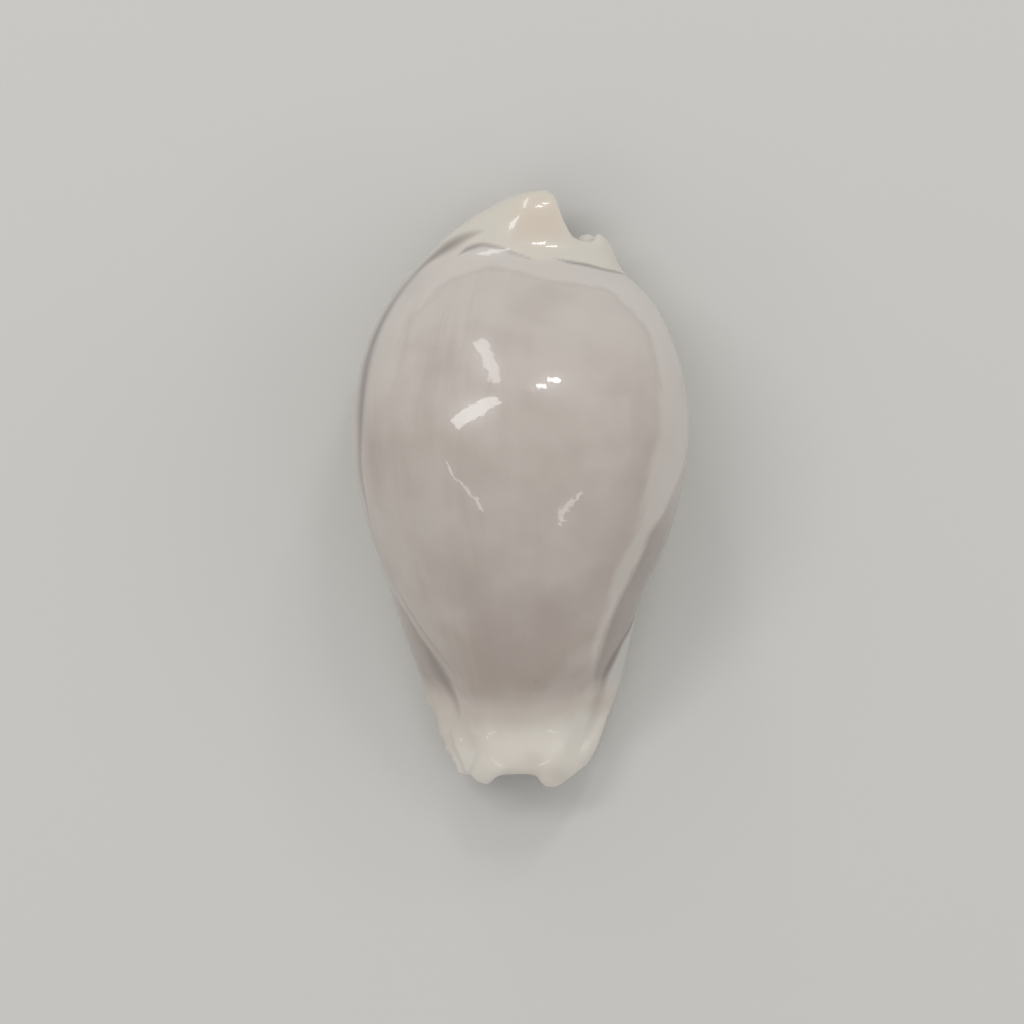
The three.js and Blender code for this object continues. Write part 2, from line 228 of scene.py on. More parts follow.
def wall_thickness(turn, y):
    off_lip, to_inner_lip = ramp(*OFF_OUTER_LIP, turn), ramp(*ONTO_INNER_LIP, turn)
    middle = mix(mix(LIP_WALL, WALL, off_lip), INNER_LIP_WALL, to_inner_lip)
    end = mix(mix(LIP_END_WALL, END_WALL, off_lip), INNER_LIP_END_WALL, to_inner_lip)
    outer = mix(middle, end, ramp(*TO_AN_END, np.abs(y) / HALF_LENGTH))
    flange = ramp(*ONTO_FLANGE, turn) * (1 - ramp(*OFF_FLANGE, turn)) * ramp(*BY_THE_NOTCH, y / HALF_LENGTH)
    return mix(mix(outer, FLANGE_WALL, flange), INNER_WALL, ramp(*ONTO_WHORL, turn))


# %% Hollows beside the front canal
HOLLOWS = [  # depth, where it starts towards the front, its turns there and further on, where it shifts
    (1.3, (0.25, 0.7), (1.2, 1.42), (0.2, 0.75)),
    (0.9, (0.35, 0.72), (2.85, 2.6), (0.35, 0.75))]
HOLLOWS_END, HOLLOW_SPREAD = (0.84, 0.96), 0.17


def hollows(turn, y):
    front = -y / HALF_LENGTH
    return sum(
        depth * ramp(*starts, front) * (1 - ramp(*HOLLOWS_END, front))
        * swelling(turn, mix(*turns, ramp(*drift, front)), HOLLOW_SPREAD)
        for depth, starts, turns, drift in HOLLOWS)


print(len(HOLLOWS), "hollows, the deepest", max(depth for depth, *_ in HOLLOWS), "mm")

# %% Where the wall ends
SOFTENING_ROUND = 0.015  # quarter turns
front_end = smooth_curve([  # quarter turns, percent of half the length
    (-1, -95), (0, -96.5), (0.8, -97), (1.24, -97.6), (1.32, -98.3), (1.41, -100.2), (1.52, -100.6),
    (1.64, -99.6), (1.77, -97.9), (1.9, -97.4), (2.12, -97.3), (2.22, -98), (2.33, -100.4), (2.43, -101.3),
    (2.58, -101.3), (2.68, -99.8), (2.78, -97.4), (3, -95.6), (4, -94), (5, -85), (6, -70), (8, -55)],
    SOFTENING_ROUND)
back_end = smooth_curve([
    (-1, 95), (0, 97.5), (0.8, 99.9), (1.6, 101.5), (2.1, 101.8), (2.27, 99.8), (2.345, 92), (2.41, 85.6),
    (2.48, 83.7), (2.56, 83.2), (2.64, 83.7), (2.72, 85.2), (2.8, 86.1), (2.87, 85.5), (2.95, 83.8),
    (3.05, 82), (3.2, 80), (3.7, 77.5), (4.4, 77.5), (5, 72), (6, 60), (8, 50)],
    SOFTENING_ROUND)
print("over the top, from", round(float(front_end(2)), 1), "to", round(float(back_end(2)), 1), "percent")

# %% [markdown]
# ## The sheet
#
# The sheet is one grid from `bmesh.ops.create_grid`. Its columns run along the shell and its rows run
# round the wall: out over the outer face, round the inner lip's edge, and back over the inner face, so
# that the last column meets the first. Columns stand close where the glaze has grooves, and far apart
# on the whorl that nobody sees. Rows run straight round the middle and follow the wall's end curves only
# near the ends. At every edge the two faces part in a quarter circle, so each rim is round.

# %% Columns and rows
STRETCHES = [  # from, to and steps, in quarter turns
    (-0.35, 0.3, 22), (0.3, 0.8, 14), (0.8, 1.05, 10), (1.05, 1.6, 50), (1.6, 2.4, 28), (2.4, 3.02, 42),
    (3.02, 3.6, 16), (3.6, 4.4, 20), (4.4, 7.4, 22)]
START_TURN, LIP_EDGE_TURNS, INNER_EDGE_TURNS = -0.5, 0.15, 0.1
WHORL_START, WHORL_END = 4, STRETCHES[-1][1]
TURNS_AT_FRONT, TURNS_AT_BACK, WINDS_IN, WINDS_OUT = 4.35, 4.5, (0.02, 0.38), (0.68, 0.95)
EDGE_STEPS, RIM = 6, 1.5  # steps round a rim, and how far a rim reaches along the shell in mm
FRONT_ZONE, BACK_ZONE = (-93, 4, 13), (77, 6, 26)  # where straight rows stop, gap to the end, rows beyond
MIDDLE_STEPS, LINES_START, LINES_STEPS = 124, 60, 28  # rows are closer from 60 percent, for the thin lines
ZONE_SHARES = (0, 0.03, 0.88, 1)  # of the way along the shell, at the limits of the three zones

edge_angles = np.arange(EDGE_STEPS) * pi / 2 / EDGE_STEPS
edge_at, edge_swell = 1 - np.cos(edge_angles), np.sin(edge_angles)

lines_place = 1 + (LINES_START - FRONT_ZONE[0]) / (BACK_ZONE[0] - FRONT_ZONE[0])
row_place = np.concatenate([  # 0 to 1 is the front zone, 1 to 2 the straight middle, 2 to 3 the back zone
    np.zeros(EDGE_STEPS), np.linspace(0, 1, FRONT_ZONE[2], endpoint=False),
    np.linspace(1, lines_place, MIDDLE_STEPS, endpoint=False),
    np.linspace(lines_place, 2, LINES_STEPS, endpoint=False),
    np.linspace(2, 3, BACK_ZONE[2] + 1), np.full(EDGE_STEPS, 3)])
plain_rows = len(row_place) - 2 * EDGE_STEPS
row_rim = np.concatenate([RIM * (1 - edge_at), np.zeros(plain_rows), RIM * (1 - edge_at[::-1])])
row_swell = np.concatenate([edge_swell, np.ones(plain_rows), edge_swell[::-1]])
row_share = np.interp(row_place, range(len(ZONE_SHARES)), ZONE_SHARES)

last_turn = mix(TURNS_AT_FRONT, WHORL_END, ramp(*WINDS_IN, row_share))
last_turn = mix(last_turn, TURNS_AT_BACK, ramp(*WINDS_OUT, row_share))
turns = np.concatenate([np.linspace(a, b, n, endpoint=False) for a, b, n in STRETCHES] + [[WHORL_END]])
wound = (turns - WHORL_START) / (WHORL_END - WHORL_START)
body = np.where(turns < WHORL_START, turns, mix(WHORL_START, last_turn[:, None], np.maximum(wound, 0)))
lip_edge_turns = START_TURN + LIP_EDGE_TURNS * edge_at
inner_edge_turns = last_turn[:, None] + INNER_EDGE_TURNS * np.cos(edge_angles)[None, ::-1]
turn_grid = np.hstack([np.tile(lip_edge_turns, (len(row_share), 1)), body, inner_edge_turns])
swell_grid = row_swell[:, None] * np.concatenate([edge_swell, np.ones_like(turns), edge_swell[::-1]])
ROWS, COLUMNS = turn_grid.shape
print(ROWS, "rows,", COLUMNS, "columns on each face")

# %% The place of every point
turn = turn_grid.ravel()
swell = swell_grid.ravel()
share = np.repeat(row_share, COLUMNS)
at_row = np.repeat(row_place, COLUMNS)
front_stop, back_stop = front_end(turn) * HALF_LENGTH / 100 + RIM, back_end(turn) * HALF_LENGTH / 100 - RIM
front_start = np.maximum(FRONT_ZONE[0], front_end(turn) + FRONT_ZONE[1]) * HALF_LENGTH / 100
back_start = np.minimum(BACK_ZONE[0], back_end(turn) - BACK_ZONE[1]) * HALF_LENGTH / 100
y = np.where(at_row < 1, mix(front_stop, front_start, at_row), np.where(
    at_row < 2, mix(front_start, back_start, at_row - 1), mix(back_start, back_stop, at_row - 2)))
y += np.where(at_row < 1.5, -1, 1) * np.repeat(row_rim, COLUMNS)
out = outward(turn, y)
plain = plain_face(turn, y) - out * hollows(turn, y)[:, None]
thickness = wall_thickness(turn, y)
print("wall from", round(float(thickness.min()), 2), "to", round(float(thickness.max()), 2), "mm thick")

# %% [markdown]
# ## Marks on the glaze
#
# The animal's mantle laid the glaze in steps, so the finished shell keeps a few soft grooves: one along
# the left margin, a deep one down each side towards the front canal, and thin ones at the back. Each is
# drawn as a line over the plan of the shell with a half width at every point, and is lifted onto the
# surface. The plan is unrolled: below the widest place, across goes on outwards, so a line can run on
# down a side. A groove is deepest on its line and where it is widest, and thins out towards its ends.
# Each groove, line and crease also gets painted shade, darkest where it is deepest.


# %% Distance to a line drawn on the shell
def drawn(points, step=0.8):
    """A smooth line through points of (across, along, half width), with a point about every `step` mm."""
    p = np.array(points, float)
    ahead = np.vstack([2 * p[0] - p[1], p, 2 * p[-1] - p[-2]])
    pieces = []
    for i in range(len(p) - 1):
        a, b, c, d = ahead[i:i + 4]
        count = max(2, int(np.linalg.norm((c - b)[:2]) / step))
        t = np.linspace(0, 1, count, endpoint=False)[:, None]
        curve = (a - 2.5 * b + 2 * c - d / 2) + t * (1.5 * (b - c) + (d - a) / 2)
        pieces.append(b + t * ((c - a) / 2 + t * curve))
    return np.vstack(pieces + [p[-1:]])


def unrolled(turn, x, y):
    return np.where(turn > 3, 2 * right_side(y) - x, np.where(turn < 1, 2 * left_side(y) - x, x))


ROUND_THE_BACK = np.linspace(0.4, 3.6, 641)  # the turns that a line may be drawn on
across = unrolled(turn, plain[:, 0], y)


def lifted(line):
    """The line's points on the outside of the shell, from the section through each of them."""
    places = []
    for x, along, _ in line:
        at = np.full(len(ROUND_THE_BACK), along)
        sunk = outward(ROUND_THE_BACK, at) * hollows(ROUND_THE_BACK, at)[:, None]
        section = plain_face(ROUND_THE_BACK, at) - sunk
        t = np.interp(x, unrolled(ROUND_THE_BACK, section[:, 0], at), ROUND_THE_BACK)
        places.append([np.interp(t, ROUND_THE_BACK, section[:, axis]) for axis in range(3)])
    return np.array(places)


FAR = 30.0  # millimetres


def nearest(points):
    """Distances to the line in mm, plus on its left side looking along it, and its half width there."""
    line = drawn(points)
    place = lifted(line)
    best, width = np.full(len(turn), np.inf), np.zeros(len(turn))
    side = np.ones(len(turn))
    for i in range(len(line) - 1):
        leg, flat_leg = place[i + 1] - place[i], line[i + 1] - line[i]
        t = np.clip(((plain - place[i]) @ leg) / max(leg @ leg, 1e-9), 0, 1)
        away = np.linalg.norm(plain - (place[i] + t[:, None] * leg), axis=1)
        closer = away < best
        turned = flat_leg[0] * (y - line[i, 1]) - flat_leg[1] * (across - line[i, 0])
        best = np.where(closer, away, best)
        side = np.where(closer, np.where(turned < 0, -1, 1), side)
        width = np.where(closer, mix(line[i, 2], line[i + 1, 2], t), width)
    return np.minimum(best, FAR) * side, width


print("unrolled, the sheet reaches from", round(float(across.min())), "to", round(float(across.max())), "mm")

# %% The grooves
MARGIN_GROOVE = [  # across, along and half width in mm, here along the left margin from back to front
    (-4.4, 34.7, 0.2), (-7.4, 33.7, 1), (-10.4, 32.2, 1.35), (-13.5, 29.7, 1.2), (-16.3, 26.2, 1.2),
    (-18.5, 22.6, 1.5), (-20.1, 18.6, 1.7), (-20.9, 14.8, 1.6), (-21.3, 10.3, 1.4), (-21.4, 6.2, 1.1),
    (-21.3, 2.5, 0.9), (-20.6, -2.1, 0.75), (-19.8, -6.1, 0.6), (-18.2, -10.4, 0.4), (-16.9, -14.1, 0.1)]
HAIR_LINE = [  # a fine line beside the left front groove
    (-17.4, -12.2, 0.1), (-16.2, -13.9, 0.28), (-14.9, -16.3, 0.34), (-13.3, -19, 0.34), (-11.5, -21.6, 0.32),
    (-9.8, -23.9, 0.3), (-8.2, -26.2, 0.26), (-6.6, -28.3, 0.1)]
LEFT_GROOVE = [
    (-18, -12.3, 0.15), (-16.8, -14.5, 0.4), (-15.3, -17.2, 0.6), (-14, -19.8, 0.7), (-12.7, -21.9, 0.8),
    (-11.7, -23.8, 1), (-10.4, -26.3, 1), (-9, -28.9, 0.7), (-8.3, -30.8, 0.4), (-8.2, -32.5, 0.1)]
RIGHT_GROOVE = [  # from low on the right side
    (20.5, -6.5, 0.1), (18.85, -10, 0.3), (17.25, -13, 0.55), (16.45, -14.6, 0.75), (15.85, -16, 0.85),
    (15.35, -17.3, 0.85), (14.75, -18.7, 0.75), (14.05, -19.8, 0.6), (13.4, -20.9, 0.5), (12.75, -22.3, 0.45),
    (12, -23.9, 0.4), (11.3, -25.4, 0.3), (10.7, -27.5, 0.1)]
RIGHT_TROUGH = [  # the same groove further on, shallow and wide
    (13.2, -20.5, 0.3), (12.2, -23, 0.7), (11.3, -25.4, 1), (10.7, -27.5, 1.2), (10.3, -29.5, 1.3),
    (9.7, -31.5, 1.2), (8.9, -33.5, 0.9), (7.9, -35.5, 0.3)]
BACK_LINE_LEFT = [
    (-8.4, 31.2, 0.2), (-7.2, 32, 0.45), (-5.4, 32.6, 0.4), (-3.7, 32.4, 0.36), (-1.3, 31.6, 0.34),
    (0.9, 30.8, 0.3), (2.4, 30.2, 0.1)]
BACK_LINE_RIGHT = [
    (4.2, 30.9, 0.1), (6.2, 30.3, 0.36), (9, 29.8, 0.42), (10.9, 29.3, 0.4), (13.5, 28.8, 0.36),
    (15, 28.2, 0.1)]
CORNER_CREASE = [
    (-9.2, -31.8, 0.1), (-9.4, -33.4, 0.4), (-8.9, -35.2, 0.6), (-8.1, -37, 0.6), (-7.2, -39, 0.5)]
LOBE_CREASE = [(-6, -34.8, 0.1), (-6.2, -36.4, 0.45), (-6.9, -38.4, 0.5)]

# the darkening is painted shade along each line
GROOVES = {  # the line, how deep it is, and how much it darkens
    "margin groove": (MARGIN_GROOVE, 0.34, 0.95), "hair line": (HAIR_LINE, 0.06, 0.6),
    "left groove": (LEFT_GROOVE, 0.42, 0.7), "right groove": (RIGHT_GROOVE, 0.42, 0.9),
    "right trough": (RIGHT_TROUGH, 0.3, 0.4),
    "left back line": (BACK_LINE_LEFT, 0.04, 0.7), "right back line": (BACK_LINE_RIGHT, 0.05, 0.8),
    "corner crease": (CORNER_CREASE, 0.25, 0.35), "lobe crease": (LOBE_CREASE, 0.2, 0.3)}
LEAST_WIDTH, SHADE_POWER = 0.05, 0.7  # mm, and a power below 1 that makes the shade wider than the groove
relief, shade = np.zeros(len(turn)), np.zeros(len(turn))
for name, (points, depth, darkening) in GROOVES.items():
    away, width = nearest(points)
    widest = max(half_width for _, _, half_width in points)
    hollow = np.exp(-(away / np.maximum(width, LEAST_WIDTH)) ** 2) * width / widest
    relief -= depth * hollow
    shade = np.maximum(shade, darkening * hollow ** SHADE_POWER)
    print(name, "is", round(float(depth * hollow.max()), 2), "mm deep and", 2 * widest, "mm wide")

# %% [markdown]
# ## Edges between the zones
#
# The glaze also has edges: the white of the margins against the grey back, the collar over the front
# canal, the beak at the back. Here the sign counts, because the two sides get different colours. The
# distance in millimetres is kept in the mesh, so that shape and colour share one line. The thick glaze
# of the beak and of the white zone also stands a little proud of the back.

# %% Lines between the zones
BELOW_WIDEST = 0.05  # mm
EDGES = {  # across and along in mm
    "callus_edge": [  # plus towards the white glaze of the margins and the back
        (-22.5, -3), (-20.2, 6), (-18, 11.9), (-16.5, 16), (-15.9, 20), (-14.9, 22.8), (-12.5, 25.3),
        (-10.7, 27.4), (-7.3, 28.9), (-4.1, 29.8), (-1.8, 29.5), (0.9, 28.9), (3.4, 28.1), (8.1, 27.4),
        (12.1, 26.5), (14.5, 24.3), (16.7, 21.6), (18, 18.6), (18.6, 14.3), (18.6, 10), (18.2, 6.2),
        (17.4, 3.1), (16.7, 0.1), (15.8, -4.5), (14.3, -8.2), (12.7, -11.1), (11.9, -14.7), (10.6, -18.3),
        (9.6, -21.5), (9.3, -24.7), (9, -30), (8.7, -36)],
    "band_edge": [  # plus beyond the white band down the right side
        (24.5, 15), (23.2, 10), (22.4, 6.2), (21.4, 2.5), (19.8, -0.9), (18.8, -3), (16.9, -5.8), (16, -8.2),
        (14.3, -11.9), (13.4, -13.5), (12.1, -16.2), (10.9, -19.6), (10, -22.7), (9.4, -24.7), (9.1, -30),
        (8.8, -36)],
    "collar_edge": [  # minus towards the creamy collar over the front canal
        (-26, -23), (-17, -25.5), (-12, -27.8), (-9, -28.8), (-6, -29.3), (-2.7, -29.5), (0.9, -29.3),
        (4.5, -28.9), (8, -28.2), (12, -27.4), (17, -26.4), (26, -25)],
    "beak_edge": [  # plus towards the thick glaze of the beak
        (-10.5, 33), (-7.8, 32.6), (-5.4, 32.7), (-3.7, 32.4), (-1.3, 31.6), (0.9, 30.8), (2.8, 30.4),
        (5, 30.6), (9, 29.7), (13.5, 28.9), (15, 28.2)],
    "left_margin": [  # minus below the left groove, and below the widest place further back
        (float(left_side(along)) - BELOW_WIDEST, along) for along in (14, 6, 0, -5, -9, -12)] + [
        (x, along) for x, along, _ in LEFT_GROOVE[1:-1]],
    "right_margin": [  # plus below the right groove
        (24.4, 20), (24.2, 12), (23.6, 5), (22.7, 0)] + [
        (x, along) for x, along, _ in RIGHT_GROOVE[:10] + RIGHT_TROUGH[2:-1]]}
edge_distance = {name: nearest([(*place, 1) for place in line])[0] for name, line in EDGES.items()}
for name, distance in edge_distance.items():
    print(name, "parts", round(float((distance > 0).mean() * 100)), "percent of the points from the others")

# %% Steps in the glaze
STEPS = {"callus_edge": (0.05, 0.9), "beak_edge": (0.14, 1.1)}  # height, and half its run
STEP_FADES = (12, 5)  # mm from its line
for name, (height, run) in STEPS.items():
    near_line = ramp(*STEP_FADES, np.abs(edge_distance[name]))
    relief += height * ramp(-run, run, edge_distance[name]) * near_line
    print("step at the", name, "is", height, "mm high")

# %% [markdown]
# ## Folds and teeth
#
# Across the outer lip run some 25 blunt folds. Each one is a low swelling across the lip with a small
# valley on both sides, so they show from below as a row of teeth along the slit. No two are alike: a
# seeded source of chance gives every fold its own place, width, height, reach and lean, and the same
# shell comes out on every run. At the front, five small teeth stand out from the left margin.

# %% The folds across the outer lip
source = np.random.default_rng(7)
FOLD_FIRST, FOLD_LAST, FOLD_COUNT = -35.5, 29, 25
fold_y = np.linspace(FOLD_FIRST, FOLD_LAST, FOLD_COUNT) + source.uniform(-0.4, 0.4, FOLD_COUNT)
fold_width = source.uniform(0.7, 1, FOLD_COUNT)
fold_height = source.uniform(0.35, 0.6, FOLD_COUNT)
fold_reach = source.uniform(0.15, 0.5, FOLD_COUNT)
fold_lean = source.uniform(-0.6, 0.6, FOLD_COUNT)
LEANS_ABOUT, FADES_BEFORE, FADES_AFTER, REACH_SPREAD = -0.3, 0.25, 0.15, 1.6  # quarter turns, the last mm
lip_folds, crests, reach_here = np.zeros(len(turn)), np.zeros(len(turn)), np.zeros(len(turn))
for at, width, height, reach, lean in zip(fold_y, fold_width, fold_height, fold_reach, fold_lean):
    crest = swelling(y, at + lean * (turn - LEANS_ABOUT), width)
    crests = np.maximum(crests, crest)
    reach_here += reach * swelling(y, at, REACH_SPREAD)
    fades = 1 - ramp(reach - FADES_BEFORE, reach + FADES_AFTER, turn)
    lip_folds = np.maximum(lip_folds, height * crest * fades)
relief += lip_folds
print("folds every", round((FOLD_LAST - FOLD_FIRST) / (FOLD_COUNT - 1), 1), "mm along the outer lip")

# %% The valleys between the folds
VALLEY_DEPTH, VALLEYS_FROM, VALLEYS_BEYOND, LEAST_REACH = 0.42, (-0.42, -0.3), 3, 0.05
along_lip = ramp(FOLD_FIRST - VALLEYS_BEYOND, FOLD_FIRST, y) * ramp(FOLD_LAST + VALLEYS_BEYOND, FOLD_LAST, y)
round_lip = ramp(*VALLEYS_FROM, turn) * (1 - ramp(0, 1, turn / np.maximum(reach_here, LEAST_REACH)))
valleys = VALLEY_DEPTH * (1 - crests) * round_lip * along_lip
print("valleys up to", round(float(valleys.max()), 2), "mm deep")

# %% The teeth on the front of the margin
MARGIN_TEETH = [  # how far along the shell and how far round, then width and height
    (-28.6, 0.93, 0.75, 0.6), (-32.9, 0.95, 0.65, 0.5), (-34.9, 0.97, 0.6, 0.55), (-36.3, 1, 0.45, 0.3),
    (-38.1, 1.02, 0.65, 0.55)]
TOOTH_TURNS = 0.2
for at, tooth_turn, width, height in MARGIN_TEETH:
    relief += height * swelling(y, at, width) * swelling(turn, tooth_turn, TOOTH_TURNS)
print(len(MARGIN_TEETH), "teeth")
print("relief from", round(float(relief.min()), 2), "to", round(float(relief.max()), 2), "mm")

# %% [markdown]
# ## Rolling the sheet
#
# Now the grid is made flat and each of its points gets its place on the wall. The grid's own
# coordinates say which column and row a point is in, so nothing depends on the order of the points.
# Doubles are merged along the seam and both rims, which closes the body.

# %% Both faces
FOLDS_INSIDE = (-0.45, -0.1)  # near the lip's edge a fold stands out on the inner face too
half = thickness / 2
outer_face = plain + out * (relief * swell - half * (1 - swell))[:, None]
inner_fold = lip_folds * (1 - ramp(*FOLDS_INSIDE, turn))
inner_face = plain - out * (half * (1 + swell) + inner_fold * swell)[:, None]
for face in (outer_face, inner_face):
    face[:, 2] = np.maximum(face[:, 2], 0)  # the flat spots the shell rests on
outer_face -= out * (valleys * swell)[:, None]
print("outer face from", outer_face.min(axis=0).round(2), "to", outer_face.max(axis=0).round(2), "mm")

# %% Values for the finish, kept in the mesh
OFF_FRONT_RIM, OFF_BACK_RIM = (0.015, 0.11), (0.985, 0.86)  # shares of the shell, white rims to dark inside
OFF_LIP_RIM, INTO_WHORL = (-0.42, 0.05), (4.25, 4.75)  # quarter turns
off_rims = ramp(*OFF_FRONT_RIM, share) * ramp(*OFF_BACK_RIM, share)
into = ramp(*OFF_LIP_RIM, turn) * off_rims
whorl = ramp(*INTO_WHORL, turn) * off_rims
face_values = {  # on the outer face, on the inner face
    "inside": (whorl, np.maximum(into, whorl)),
    "turn": (turn, turn),
    "shade": (shade, np.zeros(len(turn))),
    **{name: (d, d) for name, d in edge_distance.items()}}
print("values:", ", ".join(face_values))

# %% From sheet to shell
MERGE = 1e-7  # metres
ring = 2 * (COLUMNS - 1)
bm = bmesh.new()
bmesh.ops.create_grid(bm, x_segments=ring, y_segments=ROWS - 1, size=1)
print("sheet:", len(bm.verts), "points")

layers = {name: bm.verts.layers.float.new(name) for name in face_values}
for vertex in bm.verts:
    column = round((vertex.co.x + 1) / 2 * ring)
    row = round((vertex.co.y + 1) / 2 * (ROWS - 1))
    inner = column >= COLUMNS
    place = row * COLUMNS + (ring - column if inner else column)
    vertex.co = (inner_face if inner else outer_face)[place] * MM
    for name, layer in layers.items():
        vertex[layer] = face_values[name][inner][place]

bmesh.ops.remove_doubles(bm, verts=bm.verts, dist=MERGE)
bmesh.ops.recalc_face_normals(bm, faces=bm.faces)
open_edges = sum(not edge.is_manifold for edge in bm.edges)
print("shell:", len(bm.verts), "points,", open_edges, "open edges,", round(bm.calc_volume() * 1e6, 2), "cm3")

mesh = bpy.data.meshes.new("egg_cowrie")
bm.to_mesh(mesh)
bm.free()
shell = bpy.data.objects.new("egg_cowrie", mesh)
bpy.context.scene.collection.objects.link(shell)

# %% [markdown]
# ## The knob
#
# A small knob stands at the back end of the inner lip, and shows in the notch beside the beak. It is an
# egg, joined to the wall with a boolean, because its round side faces away from the sheet and the sheet
# has no points to spare there. The shell grew in one piece, so the sharp seam is then smoothed away.

# %% Knob
KNOB_CENTRE, KNOB_RADII = Vector((8.9, 32.2, 6.4)), Vector((1.9, 2.1, 2.9))
KNOB_VALUES = {"inside": 0, "turn": 3.6, "shade": 0}  # and far from every edge
bm = bmesh.new()
bmesh.ops.create_icosphere(bm, subdivisions=4, radius=1)
bmesh.ops.scale(bm, vec=KNOB_RADII * MM, verts=bm.verts)
bmesh.ops.translate(bm, vec=KNOB_CENTRE * MM, verts=bm.verts)
for name in face_values:
    layer = bm.verts.layers.float.new(name)
    for vertex in bm.verts:
        vertex[layer] = KNOB_VALUES.get(name, FAR)
knob_mesh = bpy.data.meshes.new("knob")
bm.to_mesh(knob_mesh)
bm.free()
knob = bpy.data.objects.new("knob", knob_mesh)
bpy.context.scene.collection.objects.link(knob)
print("knob:", [round(2 * radius, 1) for radius in KNOB_RADII], "mm")

# %% Joining the knob to the wall
join = shell.modifiers.new("knob", "BOOLEAN")
join.operation, join.solver, join.object = "UNION", "EXACT", knob
joined = bpy.data.meshes.new_from_object(shell.evaluated_get(bpy.context.evaluated_depsgraph_get()))
shell.modifiers.clear()
bpy.data.objects.remove(knob)
print("joined:", len(joined.vertices), "points")

# %% Smoothing the seam
SEAM, ROUNDS = (0.8, 1.35), 5  # distances from the knob's centre, in its radii
bm = bmesh.new()
bm.from_mesh(joined)


def from_knob(vertex):
    gap = vertex.co / MM - KNOB_CENTRE
    return Vector(gap[axis] / KNOB_RADII[axis] for axis in range(3)).length


for _ in range(ROUNDS):
    seam = [v for v in bm.verts if SEAM[0] < from_knob(v) < SEAM[1]]
    bmesh.ops.smooth_vert(bm, verts=seam, factor=0.5, use_axis_x=True, use_axis_y=True, use_axis_z=True)
bmesh.ops.remove_doubles(bm, verts=bm.verts, dist=MERGE)
bmesh.ops.recalc_face_normals(bm, faces=bm.faces)
print("with the knob:", len(bm.verts), "points,", len(bm.calc_loop_triangles()), "triangles,",
      sum(not edge.is_manifold for edge in bm.edges), "open edges")
bm.to_mesh(joined)
bm.free()
joined.shade_smooth()
shell.data = joined
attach(shell, "root")
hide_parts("shell")

# %% [markdown]
# ## Glazed shell
#
# The outside of a cowrie is porcelaneous lime (aragonite) that the mantle laid down as a glaze, coat
# on coat, so it is as smooth as fired porcelain and a little see-through: the thin back shows the dark
# older layers as a mauve grey, and the thick margins, the beak and the collar are creamy white. Inside,
# the wall is chocolate brown. One material paints all of it: each zone has its colour, and the
# distances kept in the mesh say how much of it each place has.

# %% Colours
def linear(code):
    """An sRGB hex colour as linear red, green, blue, alpha."""
    parts = [int(code[i:i + 2], 16) / 255 for i in (1, 3, 5)]
    return tuple(c / 12.92 if c <= 0.04045 else ((c + 0.055) / 1.055) ** 2.4 for c in parts) + (1,)


print("half grey in linear light:", round(linear("#808080")[0], 2))

# %% A node with its settings and links
glaze = bpy.data.materials.new("mantle-glazed aragonite")
glaze.use_nodes = True
tree = glaze.node_tree
tree.nodes.clear()


def add(kind, links=None, output=None, **settings):
    """Adds a node with its own settings, links or fills its inputs, and returns its first or named output."""
    node = tree.nodes.new(kind)
    for key, value in settings.items():
        setattr(node, key, value)
    for key, value in (links or {}).items():
        socket = node.inputs[key] if isinstance(key, int) else next(
            s for s in node.inputs if s.enabled and s.name == key)
        if isinstance(value, bpy.types.NodeSocket):
            tree.links.new(value, socket)
        else:
            socket.default_value = value
    return node.outputs[output] if output else next((s for s in node.outputs if s.enabled), None)


print("material:", glaze.name)

# %% [markdown]
# ## Uneven growth
#
# Nothing that grows is even. Soft streaks run along the shell where the lip once stood, so their pattern
# is stretched along it: a few millimetres wide and 30 mm long. Patches of 9 mm make the glaze slightly
# lighter and darker, and the edges of the zones wander by up to a millimetre.

# %% Patterns
fields = {name: add("ShaderNodeAttribute", output="Fac", attribute_name=name) for name in face_values}
metres = add("ShaderNodeTexCoord", output="Object")
place = add("ShaderNodeVectorMath", {0: metres, "Scale": 1 / MM}, operation="SCALE")
for axis in "XYZ":
    fields[axis] = add("ShaderNodeSeparateXYZ", {0: place}, output=axis)

STREAK_TURNS, STREAK_LENGTH, PATCH, RAG = 0.125, 30, 9, 1.4  # the grains: a share of a quarter turn, then mm
RAG_STRETCH = (1, 0.25, 1)  # four times as long along the shell
round_shell = add("ShaderNodeMath", {0: fields["turn"], 1: 1 / STREAK_TURNS}, operation="MULTIPLY")
along_shell = add("ShaderNodeMath", {0: fields["Y"], 1: 1 / STREAK_LENGTH}, operation="MULTIPLY")
growth = add("ShaderNodeCombineXYZ", {0: round_shell, 1: along_shell})
drawn_out = add("ShaderNodeVectorMath", {0: place, 1: RAG_STRETCH}, operation="MULTIPLY")
fields["streaks"] = add(
    "ShaderNodeTexNoise", {"Vector": growth, "Scale": 1.0, "Detail": 3.0, "Roughness": 0.6})
fields["patches"] = add("ShaderNodeTexNoise", {"Vector": place, "Scale": 1 / PATCH, "Detail": 2.0})
rag = add("ShaderNodeTexNoise", {"Vector": drawn_out, "Scale": 1 / RAG, "Detail": 3.0})

WANDERING = {  # mm from one side to the other
    "callus_edge": 2, "band_edge": 1.6, "collar_edge": 1.8, "beak_edge": 0.8, "left_margin": 0.8}
for name, reach in WANDERING.items():
    shift = add("ShaderNodeMath", {0: rag, 1: 0.5}, operation="SUBTRACT")
    fields["ragged " + name] = add(
        "ShaderNodeMath", {0: shift, 1: reach, 2: fields[name]}, operation="MULTIPLY_ADD")

SPOTS = {"peach": (2.2, 35.8, 12.5), "speck": (2.1, -25.8, float(top_height(-25.8)))}
for name, middle in SPOTS.items():
    fields[name] = add("ShaderNodeVectorMath", {0: place, 1: middle}, operation="DISTANCE", output="Value")
print("fields:", ", ".join(fields))
